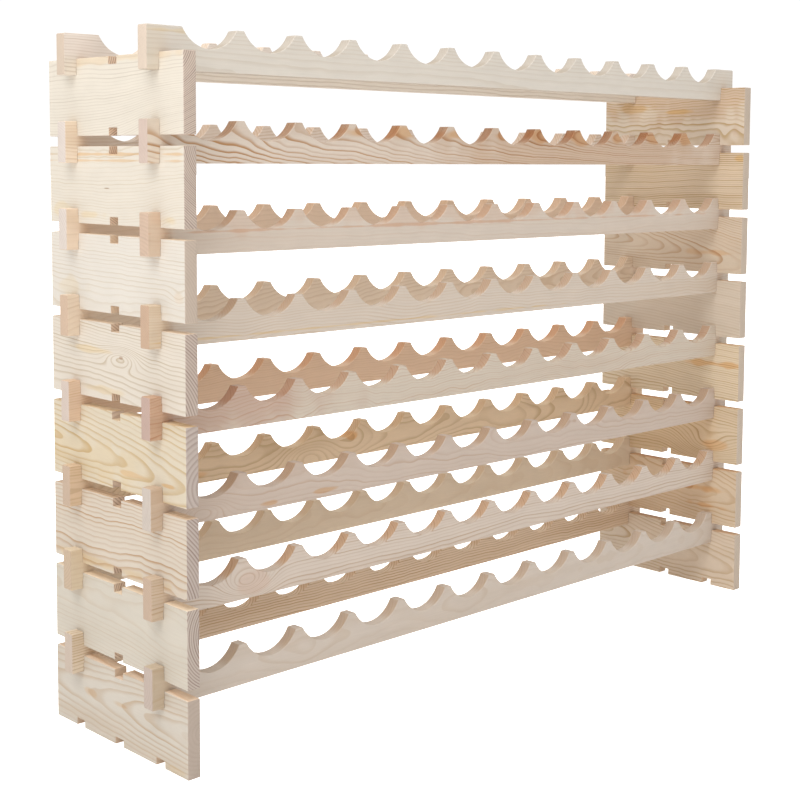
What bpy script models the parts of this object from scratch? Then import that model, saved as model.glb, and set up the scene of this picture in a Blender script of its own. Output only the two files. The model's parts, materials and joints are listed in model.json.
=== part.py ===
"""Knock-down pine wine rack: eight tiers of notched side boards and scalloped bottle rails.

Metres, +Z up. X runs along the rails, -X being the left side as seen from the front, and -Y is the
front. The origin is on the floor, midway between the two sides and midway from front to rear.
"""

import math

import bmesh
import bpy
from mathutils import Vector

# Driving dimensions
TIERS = 8
BOTTLES_PER_TIER = 12
TIER_PITCH = 0.111
PLANK = 0.018  # every piece is cut from the same planed pine

BOARD_DEPTH = 0.298
BOARD_HEIGHT = 0.098
BOARD_NOTCH_DEPTH = 0.010
NOTCH_SPACING = 0.091  # from the middle notch of a board to the front and the rear one

RAIL_LENGTH = 1.220
RAIL_HEIGHT = 0.053
RAIL_OVERHANG = 0.018  # past the outer face of a side board
RAIL_DROP = 0.021  # from a board's top edge down to the lower edge of the rail it carries

CRADLE_PITCH = 0.094
CRADLE_DEPTH = 0.025
PEAK_WIDTH = 0.012  # the flat left between two cradles
CRADLE_SEGMENTS = 10

GAP = 0.0003  # left on each side of a joint, so that touching pieces stay apart

# Sizes that follow
NOTCH_WIDTH = PLANK + 2 * GAP
BOARD_X = RAIL_LENGTH / 2 - RAIL_OVERHANG - PLANK / 2
RAIL_BASE = BOARD_HEIGHT - RAIL_DROP
RAIL_TOP = RAIL_BASE + RAIL_HEIGHT
LOWER_NOTCH_DEPTH = RAIL_DROP - BOARD_NOTCH_DEPTH + GAP
UPPER_NOTCH_DEPTH = RAIL_TOP - TIER_PITCH - BOARD_NOTCH_DEPTH + GAP
CRADLE_HALF_WIDTH = (CRADLE_PITCH - PEAK_WIDTH) / 2
CRADLE_RADIUS = (CRADLE_HALF_WIDTH**2 + CRADLE_DEPTH**2) / (2 * CRADLE_DEPTH)


def clear_scene():
    for obj in list(bpy.data.objects):
        bpy.data.objects.remove(obj, do_unlink=True)


def pine(name, colour, roughness):
    """Bare planed pine."""
    material = bpy.data.materials.new(name)
    material.use_nodes = True
    shader = material.node_tree.nodes["Principled BSDF"]
    shader.inputs["Base Color"].default_value = (*colour, 1)
    shader.inputs["Roughness"].default_value = roughness
    shader.inputs["Metallic"].default_value = 0
    return material


def notch(centre, edge, floor):
    """The four corners of a square notch, left to right: edge is the height it is cut from, floor its bottom."""
    left = centre - NOTCH_WIDTH / 2
    right = centre + NOTCH_WIDTH / 2
    return [(left, edge), (left, floor), (right, floor), (right, edge)]


def board_outline():
    """A side board seen from its side, as (y, z) from the middle of its lower edge, anticlockwise."""
    half = BOARD_DEPTH / 2
    centres = (-NOTCH_SPACING, 0, NOTCH_SPACING)
    lower = [(-half, 0)]
    upper = [(-half, BOARD_HEIGHT)]
    for centre in centres:
        lower += notch(centre, 0, BOARD_NOTCH_DEPTH)
        upper += notch(centre, BOARD_HEIGHT, BOARD_HEIGHT - BOARD_NOTCH_DEPTH)
    lower.append((half, 0))
    upper.append((half, BOARD_HEIGHT))
    return lower + upper[::-1]


def cradle(centre):
    """The round hollow that takes a bottle: an arc from its left rim down and up to its right rim."""
    opening = math.asin(CRADLE_HALF_WIDTH / CRADLE_RADIUS)
    middle = RAIL_HEIGHT - CRADLE_DEPTH + CRADLE_RADIUS
    arc = []
    for step in range(CRADLE_SEGMENTS + 1):
        angle = opening * (2 * step / CRADLE_SEGMENTS - 1)
        arc.append((centre + CRADLE_RADIUS * math.sin(angle), middle - CRADLE_RADIUS * math.cos(angle)))
    return arc


def rail_outline(carries_boards):
    """A rail seen from the front, as (x, z) from the middle of its lower edge, anticlockwise.

    A rail that carries the boards of another tier has a notch near each end of its upper edge too.
    """
    half = RAIL_LENGTH / 2
    lower = [(-half, 0)]
    upper = [(-half, RAIL_HEIGHT)]
    for centre in (-BOARD_X, BOARD_X):
        lower += notch(centre, 0, LOWER_NOTCH_DEPTH)
    lower.append((half, 0))
    if carries_boards:
        upper += notch(-BOARD_X, RAIL_HEIGHT, RAIL_HEIGHT - UPPER_NOTCH_DEPTH)
    for place in range(BOTTLES_PER_TIER):
        upper += cradle((place - (BOTTLES_PER_TIER - 1) / 2) * CRADLE_PITCH)
    if carries_boards:
        upper += notch(BOARD_X, RAIL_HEIGHT, RAIL_HEIGHT - UPPER_NOTCH_DEPTH)
    upper.append((half, RAIL_HEIGHT))
    return lower + upper[::-1]


def plank_mesh(name, outline, along, across):
    """A plank with this outline: along is the outline's level direction, across the one it is thick in."""
    shape = bmesh.new()
    near = -PLANK / 2 * across
    corners = [shape.verts.new(near + u * along + Vector((0, 0, v))) for u, v in outline]
    face = shape.faces.new(corners)
    pushed = bmesh.ops.extrude_face_region(shape, geom=[face])["geom"]
    moved = [part for part in pushed if isinstance(part, bmesh.types.BMVert)]
    bmesh.ops.translate(shape, verts=moved, vec=PLANK * across)
    bmesh.ops.recalc_face_normals(shape, faces=shape.faces)
    mesh = bpy.data.meshes.new(name)
    shape.to_mesh(mesh)
    shape.free()
    return mesh


def place(name, mesh, tier, location):
    piece = bpy.data.objects.new(name, mesh)
    piece.parent = tier
    piece.location = location
    bpy.context.collection.objects.link(piece)


def tier_frame(number):
    """An empty at the foot of a tier, on the line that the tier lifts off along."""
    tier = bpy.data.objects.new(f"tier_{number}", None)
    tier.location = (0, 0, (number - 1) * TIER_PITCH)
    bpy.context.collection.objects.link(tier)
    return tier


def build_rack():
    board = plank_mesh("side_board", board_outline(), Vector((0, 1, 0)), Vector((1, 0, 0)))
    rail = plank_mesh("rail", rail_outline(carries_boards=True), Vector((1, 0, 0)), Vector((0, 1, 0)))
    top_rail = plank_mesh("top_rail", rail_outline(carries_boards=False), Vector((1, 0, 0)), Vector((0, 1, 0)))
    board.materials.append(pine("side_board_pine", (0.84, 0.72, 0.54), 0.62))
    rail.materials.append(pine("rail_pine", (0.74, 0.60, 0.45), 0.60))
    top_rail.materials.append(rail.materials[0])
    for number in range(1, TIERS + 1):
        tier = tier_frame(number)
        tier_rail = rail if number < TIERS else top_rail
        place(f"side_board_left_{number}", board, tier, (-BOARD_X, 0, 0))
        place(f"side_board_right_{number}", board, tier, (BOARD_X, 0, 0))
        place(f"front_rail_{number}", tier_rail, tier, (0, -NOTCH_SPACING, RAIL_BASE))
        place(f"rear_rail_{number}", tier_rail, tier, (0, NOTCH_SPACING, RAIL_BASE))


clear_scene()
build_rack()
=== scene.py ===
import json
import math

import bpy
import numpy as np
from mathutils import Matrix, Vector

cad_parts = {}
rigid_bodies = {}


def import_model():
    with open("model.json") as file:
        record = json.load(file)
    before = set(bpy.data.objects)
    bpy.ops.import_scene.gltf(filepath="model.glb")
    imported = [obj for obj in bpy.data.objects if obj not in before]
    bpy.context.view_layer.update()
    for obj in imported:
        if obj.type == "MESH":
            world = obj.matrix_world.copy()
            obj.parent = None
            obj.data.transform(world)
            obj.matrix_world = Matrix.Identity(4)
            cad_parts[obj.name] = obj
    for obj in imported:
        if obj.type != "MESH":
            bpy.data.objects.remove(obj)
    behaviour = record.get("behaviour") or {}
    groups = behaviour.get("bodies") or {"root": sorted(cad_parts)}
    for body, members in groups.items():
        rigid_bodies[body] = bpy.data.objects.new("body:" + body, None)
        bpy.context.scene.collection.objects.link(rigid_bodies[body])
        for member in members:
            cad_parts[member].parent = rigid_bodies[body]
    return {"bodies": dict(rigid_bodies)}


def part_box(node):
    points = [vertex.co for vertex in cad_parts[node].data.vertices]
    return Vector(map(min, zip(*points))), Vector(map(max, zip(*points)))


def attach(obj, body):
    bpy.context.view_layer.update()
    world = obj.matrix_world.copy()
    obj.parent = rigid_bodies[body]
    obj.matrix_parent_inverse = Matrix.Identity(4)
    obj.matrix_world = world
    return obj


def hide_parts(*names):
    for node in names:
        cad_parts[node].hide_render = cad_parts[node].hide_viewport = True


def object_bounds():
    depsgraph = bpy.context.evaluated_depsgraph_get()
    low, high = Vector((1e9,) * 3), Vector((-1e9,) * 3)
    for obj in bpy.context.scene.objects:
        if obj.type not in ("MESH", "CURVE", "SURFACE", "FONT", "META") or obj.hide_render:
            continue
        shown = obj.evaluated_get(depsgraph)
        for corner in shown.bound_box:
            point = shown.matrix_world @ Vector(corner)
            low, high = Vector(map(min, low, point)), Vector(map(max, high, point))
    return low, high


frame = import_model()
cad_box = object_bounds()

# ---------------------------------------------------------------------------------------------
# Side boards
# Two pine planks stand on edge in every tier. Three square notches are sawn in the upper edge
# and three in the lower one. Nothing fastens them: they drop over the rails of the tier below.
# ---------------------------------------------------------------------------------------------

TIERS = range(1, len(frame["bodies"]) + 1)
UP = (0, 0, 1)
BOARD_GRAIN = (0, 1, 0)

NOTCH_WIDTH = 0.0186
BOARD_NOTCH_DEPTH = 0.010
NOTCH_SPACING = 0.091
BOARD_CORNER = 0.0013
BOARD_ARRIS = 0.0010  # how far the plane rounded the long edges
SAWN_CORNER = 0.0005
SAWN_ARRIS = 0.0003  # a sawn notch is almost sharp
SHOULDER = 0.003  # the rounding dies out over this length next to a notch
ARRIS_STEPS = 5
CORNER_STEPS = 4
SAME_POINT = 1e-6
SHARP_FROM = math.radians(40)


def notch_corners(centre, edge, floor, arris):
    """A square notch as rows of (u, v, corner radius, arris), left to right, with a shoulder either side."""
    left = centre - NOTCH_WIDTH / 2
    right = centre + NOTCH_WIDTH / 2
    return [
        (left - SHOULDER, edge, 0, arris),
        (left, edge, SAWN_CORNER, SAWN_ARRIS),
        (left, floor, SAWN_CORNER, SAWN_ARRIS),
        (right, floor, SAWN_CORNER, SAWN_ARRIS),
        (right, edge, SAWN_CORNER, SAWN_ARRIS),
        (right + SHOULDER, edge, 0, arris),
    ]


def rounded_outline(corners):
    """Turns rows of (u, v, corner radius, arris) into a closed outline and the arris at each of its points.

    With turn the angle between the edge that arrives at a corner and the one that leaves, the round stretch
    starts radius * tan(turn / 2) before the corner, and its points swing round the centre in equal steps.
    """
    corners = np.array(corners, float)
    point = corners[:, :2]
    radius = corners[:, 2]
    arriving = point - np.roll(point, 1, axis=0)
    arriving /= np.linalg.norm(arriving, axis=1, keepdims=True)
    leaving = np.roll(arriving, -1, axis=0)
    turn = np.arctan2(
        arriving[:, 0] * leaving[:, 1] - arriving[:, 1] * leaving[:, 0], (arriving * leaving).sum(axis=1)
    )
    left = np.stack([-arriving[:, 1], arriving[:, 0]], axis=1)
    side = (np.sign(turn) * radius)[:, None]
    start = point - arriving * (radius * np.tan(abs(turn) / 2))[:, None]
    swing = turn[:, None, None] * np.linspace(0, 1, CORNER_STEPS + 1)[None, :, None]
    spoke = np.cos(swing) * left[:, None] - np.sin(swing) * arriving[:, None]
    outline = ((start + side * left)[:, None] - side[:, None] * spoke).reshape(-1, 2)
    arris = np.repeat(corners[:, 3], CORNER_STEPS + 1)
    apart = np.linalg.norm(outline - np.roll(outline, 1, axis=0), axis=1) > SAME_POINT
    return outline[apart], arris[apart]


def plank(name, outline, arris, along, near, far):
    """The closed skin of a plank: its outline, carried from one face to the other with rounded arrises.

    Loop k stands (1 - cos a) arrises in from a face and is drawn in by (1 - sin a) arrises, with a going from
    0 on the face to a quarter turn, and the same back to 0 at the other face. Drawing in follows the mitre of
    the two edges that meet at a point. along is the outline's level direction, and near and far are where the
    two faces lie on the axis square to it.
    """
    edge = np.roll(outline, -1, axis=0) - outline
    edge /= np.linalg.norm(edge, axis=1, keepdims=True)
    outward = np.stack([edge[:, 1], -edge[:, 0]], axis=1)
    before = np.roll(outward, 1, axis=0)
    mitre = (outward + before) / (1 + (outward * before).sum(axis=1, keepdims=True))
    quarter = np.linspace(0, np.pi / 2, ARRIS_STEPS + 1)[:, None]
    sunk = (1 - np.cos(quarter)) * arris * np.sign(far - near)
    drawn = (1 - np.sin(quarter)) * arris
    level = np.concatenate([near + sunk, (far - sunk)[::-1]])
    loops = outline[None] - mitre[None] * np.concatenate([drawn, drawn[::-1]])[:, :, None]
    across = abs(np.cross(along, UP))
    points = loops[..., :1] * np.array(along) + loops[..., 1:] * np.array(UP) + level[..., None] * across

    turns, count = level.shape
    index = np.arange(turns * count).reshape(turns, count)
    ahead = np.roll(index, -1, axis=1)
    quads = np.stack([index[:-1], index[1:], ahead[1:], ahead[:-1]], axis=-1).reshape(-1, 4)
    faces = quads.tolist() + [index[0].tolist(), index[-1][::-1].tolist()]
    mesh = bpy.data.meshes.new(name)
    mesh.from_pydata(points.reshape(-1, 3).tolist(), [], faces)
    mesh.shade_smooth()
    mesh.set_sharp_from_angle(angle=SHARP_FROM)
    smooth = np.ones(len(faces), bool)
    smooth[-2:] = False
    mesh.polygons.foreach_set("use_smooth", smooth)
    piece = bpy.data.objects.new(name, mesh)
    bpy.context.scene.collection.objects.link(piece)
    return piece


def board_outline(low, high):
    """The board's side, anticlockwise from its lower front corner, as (y, z)."""
    middle = (low.y + high.y) / 2
    lower = [(low.y, low.z, BOARD_CORNER, BOARD_ARRIS)]
    upper = [(low.y, high.z, BOARD_CORNER, BOARD_ARRIS)]
    for centre in (middle - NOTCH_SPACING, middle, middle + NOTCH_SPACING):
        lower += notch_corners(centre, low.z, low.z + BOARD_NOTCH_DEPTH, BOARD_ARRIS)
        upper += notch_corners(centre, high.z, high.z - BOARD_NOTCH_DEPTH, BOARD_ARRIS)
    lower.append((high.y, low.z, BOARD_CORNER, BOARD_ARRIS))
    upper.append((high.y, high.z, BOARD_CORNER, BOARD_ARRIS))
    return rounded_outline(lower + upper[::-1])


MIX_FACTOR = 0  # the sockets of a Mix node that is set to colours
MIX_FIRST = 6
MIX_SECOND = 7
MIX_RESULT = 2


class Wood:
    """A socket in one material's node tree. Arithmetic on it adds Math nodes, and node() any other kind."""

    def __init__(self, tree, socket=None):
        self.tree = tree
        self.socket = socket

    def node(self, kind, settings=None, values=None, output=0):
        """Adds a node of a kind: first its settings, and then the values or links of its sockets."""
        made = self.tree.nodes.new(kind)
        for name, value in (settings or {}).items():
            setattr(made, name, value)
        for name, value in (values or {}).items():
            if isinstance(value, Wood):
                self.tree.links.new(value.socket, made.inputs[name])
            else:
                made.inputs[name].default_value = value
        return Wood(self.tree, made.outputs[output])

    def math(self, operation, *values):
        return self.node("ShaderNodeMath", {"operation": operation}, dict(enumerate(values)))

    def __add__(self, other):
        return self.math("ADD", self, other)

    def __sub__(self, other):
        return self.math("SUBTRACT", self, other)

    def __rsub__(self, other):
        return self.math("SUBTRACT", other, self)

    def __mul__(self, other):
        return self.math("MULTIPLY", self, other)

    def __truediv__(self, other):
        return self.math("DIVIDE", self, other)

    def __rtruediv__(self, other):
        return self.math("DIVIDE", other, self)

    __radd__ = __add__
    __rmul__ = __mul__

    def ease(self, start, end):
        """0 up to start and 1 from end on, with a smooth step between them. start may lie above end."""
        return self.node(
            "ShaderNodeMapRange",
            {"interpolation_type": "SMOOTHSTEP"},
            {"Value": self, "From Min": start, "From Max": end},
        )

    def stretch(self, *factors):
        return self.node("ShaderNodeVectorMath", {"operation": "MULTIPLY"}, {0: self, 1: factors})

    def length(self):
        return self.node("ShaderNodeVectorMath", {"operation": "LENGTH"}, {0: self}, output="Value")

    def reach(self, direction):
        """How far this vector reaches along a direction, either way. 1 is a unit vector straight along it."""
        dot = self.node(
            "ShaderNodeVectorMath", {"operation": "DOT_PRODUCT"}, {0: self, 1: direction}, output="Value"
        )
        return dot.math("ABSOLUTE", dot)

    def noise(self, detail):
        """Noise of 0 to 1 about a half, read at this vector with one cell to a unit."""
        return self.node(
            "ShaderNodeTexNoise", {"normalize": True}, {"Vector": self, "Scale": 1.0, "Detail": detail}
        )

    def tint(self, factor, colour, way="MIX"):
        """Mixes a colour, or another colour socket, into this one."""
        return self.node(
            "ShaderNodeMix",
            {"data_type": "RGBA", "blend_type": way, "clamp_factor": True},
            {
                MIX_FACTOR: factor,
                MIX_FIRST: self,
                MIX_SECOND: (*colour, 1) if isinstance(colour, tuple) else colour,
            },
            output=MIX_RESULT,
        )


# Noises, in cells to a metre: along the grain, and the two ways across it
SWAY = (5, 7, 7)
RIPPLE = (28, 22, 22)
UNEVEN = (3, 10, 10)
PATCH = (7, 22, 22)
BLUSH = (1.6, 34, 34)
CLOUD = (26, 60, 60)
FIBRE = (24, 900, 900)
SEED_STEP = (3.7, 1.3, 0)  # metres between the places where two planks read their noises

END_LINE = (0.28, 0.20, 0.17)
# lightens and warms the shaded walls of the notches: painted bounce light
NOTCH_BOUNCE_LIGHT = (1.28, 1.20, 1.06)
YELLOWING = (1.0, 0.86, 0.58)
PITCH = (0.95, 0.72, 0.48)
CLOUD_SHADE = 0.10
FIBRE_SHADE = 0.12

LAST_CUT = 0.561  # no cradle lies further than this from the middle of a plank
TIP_DEPTH = 0.0009  # an end's own tone begins this far inside it
NOTCHED = 0.010  # sawn across the grain further in than this, and it is the wall of a notch
SPOT_DEPTH = 0.05  # half the depth of a knot or a stain into the wood

PLANED_ROUGHNESS = 0.60
RELIEF = 0.00025
RELIEF_STRENGTH = 0.35
GLOSS = 0.35


def spot(place, log, mark):
    """Distance from a knot, a stained patch or a patch of painted light and shade, in its own half widths, in
    a board's or a rail's directions.
    """
    along, up = mark["at"]
    length, height = mark["size"]
    up += log["base"]
    if log["board"]:
        centre = (log["face"], along, up)
        size = (SPOT_DEPTH, length, height)
    else:
        centre = (along, log["face"], up)
        size = (length, SPOT_DEPTH, height)
    away = place.node(
        "ShaderNodeMapping", {"vector_type": "TEXTURE"}, {"Vector": place, "Location": centre, "Scale": size}
    )
    return away.length()


def pine(name, grain, log, figure):
    """Bare planed pine, cut from a log whose growth rings run right through the plank.

    The distance from the log's heart line, bent by two noises and swollen round each knot, is divided by the
    ring width. The whole part tells one ring from the next and sets how dark its late wood is, and the part
    left over runs from pale early wood to a narrow line of late wood, and starts again. Knots and stained
    patches add their own tones, and so do sawn ends. Cradle walls take a tint that is partly the tone of
    wood cut across the grain and partly painted shade and warm bounce light; upper edges, the walls of the
    notches and some patches take painted light and shade.
    """
    material = bpy.data.materials.new(name)
    material.use_nodes = True
    shader = material.node_tree.nodes["Principled BSDF"]
    wood = Wood(material.node_tree)
    place = wood.node("ShaderNodeTexCoord", output="Object")
    heart = wood.node(
        "ShaderNodeMapping",
        {"vector_type": "TEXTURE"},
        {"Vector": place, "Location": log["heart"], "Rotation": log["rotation"]},
    )
    own_place = tuple(figure["seed"] * step for step in SEED_STEP)
    along = wood.node("ShaderNodeMapping", {"vector_type": "POINT"}, {"Vector": heart, "Location": own_place})

    # Growth rings
    sway = along.stretch(*SWAY).noise(detail=1.0)
    ripple = along.stretch(*RIPPLE).noise(detail=1.0)
    radius = heart.stretch(0, 1, 1).length()
    radius = radius + (sway - 0.5) * figure["sway"] + (ripple - 0.5) * figure["ripple"]
    for mark in figure["knots"]:
        away = spot(place, log, mark)
        radius = radius + away.math("EXPONENT", away * away * -0.5) * mark["swell"]
    rings = radius / figure["ring"] + along.stretch(*UNEVEN).noise(detail=0.0) * figure["uneven"]
    number = rings.math("FLOOR", rings)
    part = rings - number
    late = part.ease(figure["early"], 0.92) * part.ease(1.0, 0.94)
    strength = number.node(
        "ShaderNodeTexWhiteNoise", {"noise_dimensions": "1D"}, {"W": number + figure["seed"]}
    )
    patch = along.stretch(*PATCH).noise(detail=2.0)
    line = late * (strength * 0.75 + 0.25) * (patch * 1.2 + 0.4) * figure["contrast"]
    end_line = part.ease(0.3, 0.8) * part.ease(1.0, 0.9) * (strength * 0.5 + 0.5) * figure["end_contrast"]

    # Planed faces, with their stained patches and patches of painted light and shade
    colour = wood.node(
        "ShaderNodeMix",
        {"data_type": "RGBA"},
        {MIX_FACTOR: line, MIX_FIRST: (*figure["pale"], 1), MIX_SECOND: (*figure["dark"], 1)},
        output=MIX_RESULT,
    )
    broad = along.stretch(*BLUSH).noise(detail=1.0).ease(0.45, 0.75)
    colour = colour.tint(broad * figure["blush"], figure["dark"])
    for mark in figure["stains_and_painted_light"]:
        away = spot(place, log, mark) + (ripple - 0.5) * mark["wander"]
        colour = colour.tint(away.ease(1.1, 0.5) * mark["depth"], mark["colour"], "MULTIPLY")
    cloud = along.stretch(*CLOUD).noise(detail=3.0)
    fibre = along.stretch(*FIBRE).noise(detail=2.0)
    shade = (cloud - 0.5) * CLOUD_SHADE + (fibre - 0.5) * FIBRE_SHADE + 1.0
    grey = wood.node("ShaderNodeCombineColor", {}, {"Red": shade, "Green": shade, "Blue": shade})
    colour = colour.tint(1.0, grey, "MULTIPLY")

    # Upper edges, cradle walls and sawn ends, told apart by which way they face and where they lie
    normal = wood.node("ShaderNodeTexCoord", output="Normal")
    endwise = normal.reach(grain)
    sideways = normal.reach((grain[1], grain[0], 0))
    upright = normal.reach(UP)
    from_middle = place.reach(grain)
    within = from_middle.ease(LAST_CUT + 0.001, LAST_CUT - 0.001)
    slanted = endwise.ease(0.25, 0.6) * sideways.ease(0.3, 0.1) * within
    tip = from_middle.ease(log["reach"] - TIP_DEPTH, log["reach"] - TIP_DEPTH + 0.0005)
    sawn = tip.math("MAXIMUM", endwise.ease(0.95, 0.98), tip)
    notched = from_middle.ease(log["reach"] - NOTCHED, log["reach"] - NOTCHED - 0.002)
    # edge tint on faces that look up or down: painted light and shade, mostly lightening and warming the
    # shaded upper edges as bounce light would
    colour = colour.tint(upright.ease(0.75, 0.95), figure["edge"], "MULTIPLY")
    # cut tint on cradle walls: partly the tone of wood cut across the grain, partly painted shade and warm
    # bounce light
    colour = colour.tint(slanted, figure["cut"], "MULTIPLY")
    end_colour = grey.tint(1.0, figure["end"], "MULTIPLY").tint(end_line, END_LINE)
    # Sawn ends take the end-grain tone, and on the walls of the notches it is also lightened and warmed:
    # painted bounce light
    colour = colour.tint(sawn, end_colour.tint(notched, NOTCH_BOUNCE_LIGHT, "MULTIPLY"))

    roughness = sawn * 0.14 - line * 0.10 + (fibre - 0.5) * 0.15 + PLANED_ROUGHNESS
    relief = fibre * 0.6 + line * 0.5 + cloud * 0.3
    bump = wood.node(
        "ShaderNodeBump", {}, {"Height": relief, "Strength": RELIEF_STRENGTH, "Distance": RELIEF}
    )
    for socket, value in {"Base Color": colour, "Roughness": roughness, "Normal": bump}.items():
        material.node_tree.links.new(value.socket, shader.inputs[socket])
    shader.inputs["Specular IOR Level"].default_value = GLOSS
    return material


def figure_of(seed, pale, dark, **own):
    """One plank's figure: middling values drawn from its seed, with its own ones laid over them.

    pale and dark are its early and late wood, ring is the width of a ring and early the share of it that is
    pale. The heart line lies depth behind the shown face and rise above the plank's middle, turned by lean
    and tip, and sway and ripple bend the rings. end is the tone of a sawn end. cut tints a cradle's wall,
    partly with the tone of wood cut across the grain and partly with painted shade and warm bounce light.
    edge tints faces that look up or down with painted light and shade, and outer tints the left end of a
    rail with painted light and shade.
    """
    draw = np.random.default_rng(seed)
    figure = {
        "seed": float(seed),
        "pale": pale,
        "dark": dark,
        "ring": draw.uniform(0.0028, 0.0045),
        "early": draw.uniform(0.3, 0.55),
        "contrast": draw.uniform(0.25, 0.6),
        "sway": draw.uniform(0.012, 0.03),
        "ripple": draw.uniform(0.002, 0.005),
        "depth": draw.uniform(0.03, 0.07),
        "rise": draw.uniform(-0.05, 0.05),
        "lean": draw.uniform(-0.06, 0.06),
        "tip": draw.uniform(-0.06, 0.06),
        "blush": draw.uniform(0.05, 0.3),
        "uneven": 1.5,
        "edge": (1.0, 1.0, 1.0),
        "cut": (0.88, 0.79, 0.71),
        "end_contrast": 0.2,
        "knots": [],
        "stains_and_painted_light": [],
    }
    figure.update(own)
    return figure


def knot(along, up, length, height, swell):
    """A knot's place along the grain and up from the lower edge, its half sizes, and how it swells rings."""
    return {"at": (along, up), "size": (length, height), "swell": swell}


def stain_and_painted_light(along, up, length, height, depth, colour=YELLOWING, wander=2.5):
    """A patch, stained or of painted light and shade: its place and half sizes as a knot's, strength, tone,
    how ragged its edge is.
    """
    return {"at": (along, up), "size": (length, height), "depth": depth, "colour": colour, "wander": wander}


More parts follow.
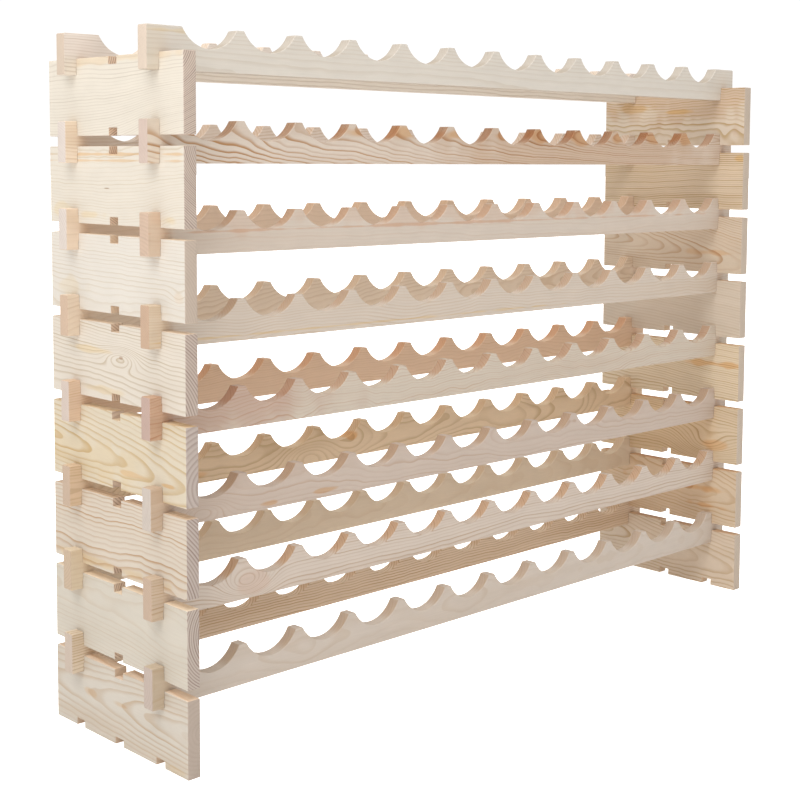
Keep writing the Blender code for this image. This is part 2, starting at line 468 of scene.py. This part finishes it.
LEFT_BOARDS = {
    8: {
        "pale": (0.725, 0.66, 0.56), "dark": (0.53, 0.45, 0.36), "ring": 0.0029, "contrast": 0.8,
        "early": 0.6, "depth": -0.07, "rise": 0.068, "tip": 0.0, "lean": 0.0, "sway": 0.010,
        "ripple": 0.002, "blush": 0.0, "end": (0.61, 0.495, 0.405), "end_contrast": 1.0,
        "edge": (0.87, 0.77, 0.77),
        "knots": [knot(-0.149, -0.005, 0.075, 0.045, 0.040)],
        "stains_and_painted_light": [stain_and_painted_light(0.02, 0.096, 0.13, 0.007, 0.6, (1.0, 0.86, 0.68))],
    },
    7: {
        "pale": (0.71, 0.645, 0.55), "dark": (0.55, 0.44, 0.29), "ring": 0.0028, "contrast": 0.65,
        "early": 0.6, "depth": 0.08, "rise": 0.065, "tip": -0.015, "lean": 0.0, "sway": 0.012,
        "ripple": 0.003, "blush": 0.1, "end": (0.56, 0.455, 0.375), "end_contrast": 1.0,
        "knots": [knot(-0.149, 0.015, 0.05, 0.03, 0.018)],
        "stains_and_painted_light": [
            stain_and_painted_light(0.016, 0.0456, 0.006, 0.0008, 0.9, (0.55, 0.42, 0.32)),
            stain_and_painted_light(0.0, 0.088, 0.2, 0.0022, 0.8, PITCH),
            stain_and_painted_light(0.03, 0.080, 0.2, 0.0016, 0.7, PITCH),
            stain_and_painted_light(0.05, 0.012, 0.025, 0.006, 0.5),
            stain_and_painted_light(-0.12, 0.010, 0.015, 0.007, 0.5),
            stain_and_painted_light(0.12, 0.018, 0.03, 0.008, 0.4),
        ],
    },
    6: {
        "pale": (0.70, 0.645, 0.57), "dark": (0.56, 0.46, 0.33), "ring": 0.0036, "contrast": 0.8,
        "early": 0.6, "depth": -0.07, "rise": -0.06, "tip": -0.02, "lean": 0.0, "sway": 0.014,
        "ripple": 0.003, "blush": 0.1, "end": (0.53, 0.43, 0.345), "end_contrast": 0.25,
        "knots": [knot(-0.135, 0.030, 0.012, 0.008, 0.005)],
        "stains_and_painted_light": [stain_and_painted_light(-0.135, 0.030, 0.010, 0.007, 0.25, PITCH), stain_and_painted_light(0.11, 0.028, 0.05, 0.012, 0.3)],
    },
    5: {
        "pale": (0.68, 0.61, 0.52), "dark": (0.46, 0.35, 0.22), "ring": 0.0036, "contrast": 0.95,
        "early": 0.55, "depth": -0.08, "rise": -0.068, "tip": -0.066, "lean": 0.0, "sway": 0.014,
        "ripple": 0.003, "blush": 0.1, "end": (0.52, 0.425, 0.355), "end_contrast": 1.0,
        "edge": (1.12, 1.02, 0.92),
        "knots": [knot(-0.012, 0.057, 0.026, 0.009, -0.020)],
        "stains_and_painted_light": [
            stain_and_painted_light(-0.012, 0.057, 0.004, 0.002, 0.7, (0.6, 0.45, 0.35)),
            stain_and_painted_light(0.06, 0.062, 0.05, 0.004, 0.6),
            stain_and_painted_light(0.03, 0.012, 0.05, 0.005, 0.5),
        ],
    },
    4: {
        "pale": (0.645, 0.56, 0.43), "dark": (0.50, 0.34, 0.15), "ring": 0.0062, "contrast": 0.9,
        "early": 0.5, "depth": 0.0225, "rise": -0.012, "tip": -0.10, "lean": 0.080, "sway": 0.008,
        "ripple": 0.004, "blush": 0.3, "uneven": 0.4, "end": (0.49, 0.41, 0.36), "end_contrast": 0.6,
        "edge": (1.12, 1.02, 0.92),
        "stains_and_painted_light": [
            stain_and_painted_light(-0.033, 0.024, 0.035, 0.004, 0.6, PITCH),
            stain_and_painted_light(-0.111, 0.022, 0.014, 0.003, 0.9, PITCH),
            stain_and_painted_light(0.06, 0.03, 0.14, 0.035, 0.3),
        ],
    },
    3: {
        "pale": (0.615, 0.535, 0.44), "dark": (0.44, 0.27, 0.14), "ring": 0.0037, "contrast": 1.0,
        "early": 0.45, "depth": -0.11, "rise": -0.078, "tip": -0.02, "lean": 0.0, "sway": 0.016,
        "ripple": 0.005, "blush": 0.1, "end": (0.49, 0.41, 0.355), "end_contrast": 1.1,
        "edge": (1.12, 1.02, 0.92),
        "stains_and_painted_light": [stain_and_painted_light(0.04, 0.008, 0.12, 0.008, 0.6)],
    },
    2: {
        "pale": (0.585, 0.53, 0.445), "dark": (0.48, 0.36, 0.24), "ring": 0.0032, "contrast": 0.6,
        "early": 0.6, "depth": 0.06, "rise": 0.020, "tip": -0.03, "lean": 0.0, "sway": 0.012,
        "ripple": 0.002, "blush": 0.05, "end": (0.51, 0.43, 0.365), "end_contrast": 1.2,
        "edge": (1.50, 1.40, 1.27),
    },
    1: {
        "pale": (0.58, 0.525, 0.45), "dark": (0.46, 0.33, 0.21), "ring": 0.0053, "contrast": 0.8,
        "early": 0.45, "depth": 0.03, "rise": 0.006, "tip": 0.0, "lean": -0.065, "sway": 0.008,
        "ripple": 0.003, "blush": 0.3, "uneven": 0.4, "end": (0.45, 0.365, 0.30), "end_contrast": 0.15,
        "edge": (1.3, 1.16, 1.06),
        "stains_and_painted_light": [
            stain_and_painted_light(0.068, 0.054, 0.022, 0.006, 0.5, PITCH),
            stain_and_painted_light(-0.008, 0.055, 0.018, 0.004, 0.5, PITCH),
            stain_and_painted_light(-0.12, 0.006, 0.03, 0.004, 0.4),
        ],
    },
}
# The right boards show their inner faces, toned darker, warmer and more saturated than the left boards:
# partly the planks' own tone, partly painted shade and warm bounce light from inside the rack
RIGHT_BOARDS = {
    8: {
        "pale": (0.69, 0.58, 0.46), "dark": (0.48, 0.32, 0.14), "ring": 0.0042, "contrast": 1.1,
        "depth": 0.05, "rise": -0.05, "tip": 0.0, "lean": 0.02, "sway": 0.025, "ripple": 0.008,
        "early": 0.45,
        "knots": [knot(-0.13, 0.0, 0.06, 0.035, 0.010)],
        "stains_and_painted_light": [
            # darker, warmer upper part of the board: painted shadow under the rails' overhang
            stain_and_painted_light(0.0, 0.095, 0.4, 0.06, 0.9, (0.90, 0.80, 0.72)),
            stain_and_painted_light(-0.006, 0.059, 0.030, 0.004, 1.0),
            stain_and_painted_light(0.08, 0.066, 0.06, 0.010, 0.7),
        ],
    },
    7: {
        "pale": (0.685, 0.55, 0.40), "dark": (0.44, 0.29, 0.14), "ring": 0.0034, "contrast": 1.3,
        "depth": 0.05, "rise": -0.12, "tip": 0.01, "sway": 0.012, "ripple": 0.003,
        "stains_and_painted_light": [stain_and_painted_light(-0.14, 0.088, 0.012, 0.006, 0.9)],
    },
    6: {
        "pale": (0.645, 0.53, 0.405), "dark": (0.46, 0.27, 0.14), "ring": 0.0034, "contrast": 0.9,
        "depth": 0.030, "rise": -0.010, "tip": -0.14, "lean": 0.10, "sway": 0.010, "ripple": 0.003,
        "uneven": 0.5, "early": 0.5,
        "stains_and_painted_light": [stain_and_painted_light(-0.10, 0.035, 0.05, 0.006, 0.6, PITCH)],
    },
    5: {
        "pale": (0.635, 0.54, 0.435), "dark": (0.50, 0.37, 0.24), "ring": 0.0040, "contrast": 0.7,
        "depth": 0.06, "rise": -0.10, "tip": -0.08, "sway": 0.014,
    },
    4: {
        "pale": (0.715, 0.59, 0.43), "dark": (0.50, 0.34, 0.17), "contrast": 1.1, "depth": 0.05,
        "rise": -0.08, "tip": -0.12, "sway": 0.018,
        "stains_and_painted_light": [stain_and_painted_light(-0.10, 0.062, 0.08, 0.007, 0.9, PITCH), stain_and_painted_light(0.02, 0.075, 0.06, 0.005, 0.7)],
    },
    3: {
        "pale": (0.665, 0.49, 0.31), "dark": (0.45, 0.28, 0.13), "contrast": 1.2, "ring": 0.0038,
        "depth": 0.05, "rise": -0.09, "tip": -0.08, "sway": 0.018, "early": 0.5,
        "knots": [knot(-0.085, 0.025, 0.040, 0.020, 0.030)],
        "stains_and_painted_light": [
            # front end of the inner face made paler and cooler, where it looks out of the rack: painted light
            stain_and_painted_light(-0.149, 0.05, 0.06, 0.2, 1.0, (1.0, 1.08, 1.19), wander=0.3),
            stain_and_painted_light(-0.10, 0.030, 0.03, 0.010, 0.7, PITCH),
        ],
    },
    2: {
        "pale": (0.64, 0.475, 0.32), "dark": (0.46, 0.27, 0.13), "contrast": 1.0, "ring": 0.0040,
        "depth": 0.04, "rise": 0.02, "tip": -0.16, "lean": 0.05, "sway": 0.02, "ripple": 0.006,
        "early": 0.5,
        "stains_and_painted_light": [
            # front end of the inner face made paler and cooler, where it looks out of the rack: painted light
            stain_and_painted_light(-0.149, 0.05, 0.06, 0.2, 1.0, (1.0, 1.06, 1.12), wander=0.3),
            stain_and_painted_light(0.0, 0.06, 0.10, 0.007, 0.9, PITCH),
            stain_and_painted_light(-0.09, 0.03, 0.05, 0.006, 0.8, PITCH),
        ],
    },
    1: {
        "pale": (0.64, 0.52, 0.40), "dark": (0.46, 0.31, 0.17), "contrast": 1.1, "ring": 0.0048,
        "depth": 0.028, "rise": 0.0, "tip": -0.10, "lean": 0.09, "sway": 0.012, "uneven": 0.5,
    },
}

for hand, first_seed, figures in (("left", 0, LEFT_BOARDS), ("right", 20, RIGHT_BOARDS)):
    for number in TIERS:
        node = f"side_board_{hand}_{number}"
        low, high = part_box(node)
        board = plank(f"pine_board_{hand}_{number}", *board_outline(low, high), BOARD_GRAIN, high.x, low.x)
        # By default the boards' upper edges are lightened and warmed: painted bounce light in the gaps
        # between tiers
        figure = {"end": (0.55, 0.45, 0.355), "edge": (1.16, 1.04, 0.91), **figures[number]}
        figure = figure_of(first_seed + number, **figure)
        shown = low.x  # the outer face at the left, and the inner one at the right
        log = {
            "heart": (shown + figure["depth"], 0, (low.z + high.z) / 2 + figure["rise"]),
            "rotation": (0, figure["tip"], math.pi / 2 + figure["lean"]),
            "face": shown,
            "reach": (high.y - low.y) / 2,
            "base": low.z,
            "board": True,
        }
        board.data.materials.append(pine(f"board_pine_{hand}_{number}", BOARD_GRAIN, log, figure))
        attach(board, f"tier_{number}")
        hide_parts(node)

# ---------------------------------------------------------------------------------------------
# Rails
# A front and a rear rail lie across every tier, sawn from the same pine. Twelve round cradles are
# cut in the upper edge, and near both ends a notch above and one below lock over the side boards.
# ---------------------------------------------------------------------------------------------

RAIL_GRAIN = (1, 0, 0)
RAIL_ARRIS = 0.0010
RAIL_CORNER = 0.002
LOWER_NOTCH_DEPTH = 0.0113
UPPER_NOTCH_DEPTH = 0.0093
CRADLES = 12
CRADLE_PITCH = 0.094
CRADLE_DEPTH = 0.025
CRADLE_HALF_WIDTH = 0.041
CRADLE_RADIUS = (CRADLE_HALF_WIDTH**2 + CRADLE_DEPTH**2) / (2 * CRADLE_DEPTH)
CRADLE_STEPS = 28


def cradle_arcs(rim):
    """All the cradles as rows of (x, z, corner radius, arris): arcs a pitch apart, left to right.

    A point stands radius * sin a beside its cradle's middle and radius * cos a below the arc's centre.
    """
    opening = math.asin(CRADLE_HALF_WIDTH / CRADLE_RADIUS)
    angle = np.linspace(-opening, opening, CRADLE_STEPS + 1)[None]
    middle = ((np.arange(CRADLES) - (CRADLES - 1) / 2) * CRADLE_PITCH)[:, None]
    x = middle + CRADLE_RADIUS * np.sin(angle)
    z = rim - CRADLE_DEPTH + CRADLE_RADIUS * (1 - np.cos(angle))
    corner = np.zeros_like(x)
    corner[:, [0, -1]] = RAIL_CORNER
    arris = np.full_like(x, RAIL_ARRIS)
    return np.stack([x, np.broadcast_to(z, x.shape), corner, arris], axis=-1).reshape(-1, 4).tolist()


def rail_outline(low, high, carries_boards):
    """The rail's front, anticlockwise from its lower left corner, as (x, z). Top rails carry no boards."""
    board_low, board_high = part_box("side_board_right_1")
    board = (board_low.x + board_high.x) / 2
    lower = [(low.x, low.z, RAIL_CORNER, RAIL_ARRIS)]
    for centre in (-board, board):
        lower += notch_corners(centre, low.z, low.z + LOWER_NOTCH_DEPTH, RAIL_ARRIS)
    lower.append((high.x, low.z, RAIL_CORNER, RAIL_ARRIS))
    upper = [(low.x, high.z, RAIL_CORNER, RAIL_ARRIS)]
    if carries_boards:
        upper += notch_corners(-board, high.z, high.z - UPPER_NOTCH_DEPTH, RAIL_ARRIS)
    upper += cradle_arcs(high.z)
    if carries_boards:
        upper += notch_corners(board, high.z, high.z - UPPER_NOTCH_DEPTH, RAIL_ARRIS)
    upper.append((high.x, high.z, RAIL_CORNER, RAIL_ARRIS))
    return rounded_outline(lower + upper[::-1])


FRONT_RAILS = {
    8: {
        "pale": (0.68, 0.62, 0.54), "dark": (0.50, 0.39, 0.27), "contrast": 0.35, "uneven": 0.5,
        "depth": 0.08, "rise": -0.03, "ring": 0.0024, "tip": 0.0, "lean": 0.004, "sway": 0.003,
        "ripple": 0.001, "blush": 0.0, "cut": (0.86, 0.84, 0.82), "edge": (0.80, 0.75, 0.69),
        "end": (0.68, 0.56, 0.45), "outer": (1.0, 0.97, 0.92),
        "stains_and_painted_light": [stain_and_painted_light(-0.56, 0.047, 0.06, 0.003, 0.5)],
    },
    7: {
        "pale": (0.675, 0.572, 0.478), "dark": (0.42, 0.22, 0.09), "contrast": 1.05, "depth": 0.036,
        "rise": 0.018, "ring": 0.0028, "tip": 0.004, "lean": -0.075, "sway": 0.008, "ripple": 0.004,
        "early": 0.45, "uneven": 0.8, "cut": (0.74, 0.56, 0.44), "end": (0.61, 0.48, 0.405),
        "outer": (1.05, 1.06, 1.04),
        "stains_and_painted_light": [
            stain_and_painted_light(0.0, 0.055, 3.0, 0.035, 1.0, (0.95, 0.945, 0.94), wander=0.3),
            stain_and_painted_light(-0.15, 0.055, 0.30, 0.035, 0.9, (0.95, 0.92, 0.89), wander=0.6),
            stain_and_painted_light(0.22, 0.03, 0.38, 0.09, 0.9, (0.835, 0.715, 0.61), wander=0.6),
            *(stain_and_painted_light(0.094 * place - 0.27, 0.042, 0.034, 0.010, 0.9, PITCH) for place in range(9)),
        ],
    },
    6: {
        "pale": (0.62, 0.53, 0.445), "dark": (0.54, 0.39, 0.28), "contrast": 0.4, "depth": 0.04,
        "rise": -0.07, "tip": 0.002, "lean": 0.01, "cut": (0.86, 0.70, 0.58), "end": (0.59, 0.43, 0.32),
        "outer": (1.06, 0.97, 0.87),
        "stains_and_painted_light": [
            stain_and_painted_light(-0.1, 0.0275, 0.7, 0.0018, 0.85, (0.92, 0.74, 0.63)),
            stain_and_painted_light(-0.1, 0.045, 0.7, 0.017, 0.5, (0.98, 0.85, 0.77)),
        ],
    },
    5: {
        "pale": (0.62, 0.53, 0.445), "dark": (0.52, 0.38, 0.25), "contrast": 0.6, "depth": 0.06,
        "rise": -0.06, "ring": 0.0026, "tip": -0.004, "lean": 0.005, "cut": (0.84, 0.70, 0.59),
        "end": (0.54, 0.37, 0.255), "outer": (1.06, 1.0, 0.89),
        "stains_and_painted_light": [stain_and_painted_light(-0.3, 0.007, 0.5, 0.0015, 0.7)],
    },
    4: {
        "pale": (0.595, 0.515, 0.42), "dark": (0.46, 0.28, 0.17), "contrast": 0.7, "depth": 0.035,
        "rise": -0.05, "tip": 0.004, "lean": -0.03, "ripple": 0.010, "early": 0.5,
        "cut": (0.83, 0.64, 0.53), "end": (0.50, 0.355, 0.295), "outer": (1.04, 0.93, 0.80),
        "knots": [knot(-0.37, 0.032, 0.02, 0.02, 0.006)],
        "stains_and_painted_light": [stain_and_painted_light(-0.62, 0.055, 0.34, 0.10, 1.0, (0.87, 0.73, 0.70), wander=0.8)],
    },
    3: {
        "pale": (0.55, 0.45, 0.375), "dark": (0.43, 0.28, 0.19), "contrast": 0.65, "depth": 0.05,
        "rise": 0.012, "ring": 0.0030, "tip": 0.006, "lean": -0.025, "early": 0.5,
        "cut": (0.86, 0.74, 0.62), "end": (0.565, 0.49, 0.425), "outer": (1.05, 0.99, 0.88),
        "knots": [knot(-0.535, 0.014, 0.03, 0.010, 0.018)],
        "stains_and_painted_light": [
            stain_and_painted_light(-0.425, 0.007, 0.016, 0.004, 0.8, PITCH),
            stain_and_painted_light(-0.335, 0.010, 0.02, 0.003, 0.8, PITCH),
        ],
    },
    2: {
        "pale": (0.62, 0.528, 0.447), "dark": (0.44, 0.30, 0.20), "contrast": 0.95, "depth": 0.04,
        "rise": -0.04, "ring": 0.0030, "tip": 0.0, "lean": 0.0, "sway": 0.010, "early": 0.5,
        "cut": (0.93, 0.74, 0.58), "end": (0.515, 0.38, 0.28), "outer": (0.94, 0.86, 0.74),
        "knots": [knot(-0.463, 0.020, 0.028, 0.014, 0.028)],
        "stains_and_painted_light": [stain_and_painted_light(-0.45, 0.020, 0.03, 0.012, 0.5, (0.97, 0.82, 0.76))],
    },
    1: {
        "pale": (0.59, 0.51, 0.435), "dark": (0.48, 0.36, 0.25), "contrast": 0.45, "tip": 0.003,
        "lean": 0.01, "end": (0.505, 0.41, 0.35), "outer": (0.90, 0.84, 0.72),
    },
}
# The rear rails are seen across the rack, toned warmer and more saturated than the front rails: partly the
# planks' own tone, partly painted warm bounce light and shade inside the rack
REAR_RAILS = {
    8: {
        "pale": (0.85, 0.75, 0.66), "dark": (0.50, 0.36, 0.24), "contrast": 0.6, "ring": 0.0026,
        "depth": 0.06, "rise": -0.05, "tip": 0.0, "lean": 0.004, "sway": 0.004, "ripple": 0.002,
        "uneven": 0.5, "blush": 0.05, "cut": (0.92, 0.86, 0.78), "end": (0.63, 0.51, 0.40),
        "outer": (1.0, 1.0, 1.0),
        # darker along the lower part of the rail's face: painted shade
        "stains_and_painted_light": [stain_and_painted_light(0.0, 0.003, 3.0, 0.024, 1.0, (0.90, 0.90, 0.86), wander=0.3)],
    },
    7: {
        "pale": (0.75, 0.64, 0.55), "contrast": 0.7, "rise": -0.05, "end": (0.685, 0.60, 0.535),
        "outer": (1.10, 1.08, 1.0),
    },
    6: {
        "pale": (0.715, 0.54, 0.40), "end": (0.67, 0.585, 0.52), "outer": (1.10, 1.16, 1.20),
    },
    5: {
        "pale": (0.74, 0.60, 0.46), "contrast": 0.6, "end": (0.59, 0.43, 0.31), "outer": (1.0, 1.0, 1.0),
    },
    4: {
        "pale": (0.72, 0.51, 0.355), "dark": (0.55, 0.33, 0.17), "cut": (0.86, 0.68, 0.56), "contrast": 0.6,
        "depth": 0.07, "rise": -0.06, "ring": 0.0026, "end": (0.61, 0.505, 0.435),
        "outer": (0.97, 1.0, 1.03),
    },
    3: {
        "pale": (0.735, 0.56, 0.38), "dark": (0.50, 0.34, 0.18), "contrast": 0.8, "ring": 0.0030,
        "depth": 0.05, "rise": 0.0, "lean": 0.05, "sway": 0.04, "early": 0.45, "end": (0.53, 0.395, 0.29),
        "outer": (0.92, 0.90, 0.91),
        "knots": [knot(-0.21, 0.014, 0.04, 0.016, 0.018), knot(-0.47, 0.012, 0.05, 0.010, 0.008)],
        "stains_and_painted_light": [
            stain_and_painted_light(-0.44, 0.012, 0.06, 0.005, 0.6, PITCH),
            stain_and_painted_light(-0.12, 0.03, 0.012, 0.006, 0.9, PITCH),
        ],
    },
    2: {
        "pale": (0.69, 0.56, 0.415), "contrast": 0.3, "end": (0.54, 0.41, 0.29),
        "outer": (0.97, 0.98, 0.95),
    },
    1: {
        "pale": (0.695, 0.535, 0.39), "dark": (0.42, 0.25, 0.11), "contrast": 1.1, "depth": 0.05,
        "rise": -0.06, "ring": 0.0030, "lean": 0.0, "tip": 0.0, "sway": 0.008, "end": (0.555, 0.455, 0.37),
        "outer": (1.0, 1.08, 1.14),
    },
}

for row, first_seed, figures in (("front", 40, FRONT_RAILS), ("rear", 60, REAR_RAILS)):
    for number in TIERS:
        node = f"{row}_rail_{number}"
        low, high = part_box(node)
        outline = rail_outline(low, high, number < len(TIERS))
        rail = plank(f"pine_rail_{row}_{number}", *outline, RAIL_GRAIN, low.y, high.y)
        figure = {"dark": (0.55, 0.38, 0.23), **figures[number]}
        figure = figure_of(first_seed + number, **figure)
        # The left end of each rail, where it stands out past the left board, takes the outer tint: painted
        # light and shade, lighter on some rails, darker and warmer on others
        painted_overhang = stain_and_painted_light(low.x, 0.0265, 0.034, 0.2, 1.0, figure["outer"], wander=0.0)
        figure["stains_and_painted_light"] = [painted_overhang, *figure["stains_and_painted_light"]]
        log = {
            "heart": (0, low.y + figure["depth"], (low.z + high.z) / 2 + figure["rise"]),
            "rotation": (0, figure["tip"], figure["lean"]),
            "face": low.y,
            "reach": (high.x - low.x) / 2,
            "base": low.z,
            "board": False,
        }
        rail.data.materials.append(pine(f"rail_pine_{row}_{number}", RAIL_GRAIN, log, figure))
        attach(rail, f"tier_{number}")
        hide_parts(node)

# ---------------------------------------------------------------------------------------------
# Floor, light and camera
# A plain pale studio floor without an edge in view, soft light from above and from the left, and
# a camera at the front left, a little above the middle of the rack.
# ---------------------------------------------------------------------------------------------

FLOOR_REACH = 60.0
FLOOR_GLOW = 0.24  # the light that the floor gives back to the rack
FLOOR_WHITE = 1.0  # how bright it looks by itself
SKY_LIGHT = 0.43
SKY_WHITE = 1.05
KEY_PLACE = (-2.3, -0.9, 2.1)
CEILING_PLACE = (-0.5, -0.3, 4.2)
CAMERA_PLACE = (-1.6129, -1.5708, 0.7470)
HEADING = 0.7674
TILT = 0.0801
ROLL = 0.0045

floor_mesh = bpy.data.meshes.new("studio_floor")
floor_mesh.from_pydata([(-1, -1, 0), (1, -1, 0), (1, 1, 0), (-1, 1, 0)], [], [(0, 1, 2, 3)])
floor_mesh.transform(Matrix.Scale(FLOOR_REACH, 4))
floor = bpy.data.objects.new("studio_floor", floor_mesh)
bpy.context.scene.collection.objects.link(floor)
floor_paint = bpy.data.materials.new("studio_floor")
floor_paint.use_nodes = True
floor_shader = floor_paint.node_tree.nodes["Principled BSDF"]
floor_shader.inputs["Base Color"].default_value = (0.9, 0.9, 0.9, 1)
floor_shader.inputs["Roughness"].default_value = 0.9
floor_shader.inputs["Specular IOR Level"].default_value = 0.1
floor_shader.inputs["Emission Strength"].default_value = 1.0
seen = Wood(floor_paint.node_tree).node("ShaderNodeLightPath", output="Is Camera Ray")
glow = seen * (FLOOR_WHITE - FLOOR_GLOW) + FLOOR_GLOW
floor_paint.node_tree.links.new(glow.socket, floor_shader.inputs["Emission Color"])
floor_mesh.materials.append(floor_paint)

world = bpy.data.worlds.new("studio")
world.use_nodes = True
bpy.context.scene.world = world
backdrop = world.node_tree.nodes["Background"]
backdrop.inputs["Color"].default_value = (1, 1, 1, 1)
seen = Wood(world.node_tree).node("ShaderNodeLightPath", output="Is Camera Ray")
sky = seen * (SKY_WHITE - SKY_LIGHT) + SKY_LIGHT
world.node_tree.links.new(sky.socket, backdrop.inputs["Strength"])

rack_middle = (cad_box[0] + cad_box[1]) / 2


def hang(lamp, place):
    """Puts a lamp at a place and turns it to face the middle of the rack."""
    holder = bpy.data.objects.new(lamp.name, lamp)
    holder.location = place
    holder.rotation_mode = "QUATERNION"
    holder.rotation_quaternion = (rack_middle - Vector(place)).to_track_quat("-Z", "Y")
    bpy.context.scene.collection.objects.link(holder)


key = bpy.data.lights.new("left_softbox", "AREA")
key.size = 1.6
key.energy = 24.6
hang(key, KEY_PLACE)

ceiling = bpy.data.lights.new("ceiling_light", "SUN")
ceiling.angle = math.radians(60)
ceiling.energy = 1.98
hang(ceiling, CEILING_PLACE)

camera = bpy.data.cameras.new("camera")
camera.sensor_width = 36
camera.lens = 66.63
camera.shift_y = -0.15
camera.clip_end = 200
viewer = bpy.data.objects.new("camera", camera)
bpy.context.scene.collection.objects.link(viewer)
bpy.context.scene.camera = viewer
level = Matrix.Rotation(-HEADING, 3, "Z") @ Matrix.Rotation(math.pi / 2 - TILT, 3, "X")
viewer.rotation_mode = "QUATERNION"
viewer.rotation_quaternion = (level @ Matrix.Rotation(ROLL, 3, "Z")).to_quaternion()
viewer.location = CAMERA_PLACE

bpy.context.scene.view_settings.view_transform = "Standard"
bpy.context.scene.view_settings.look = "None"
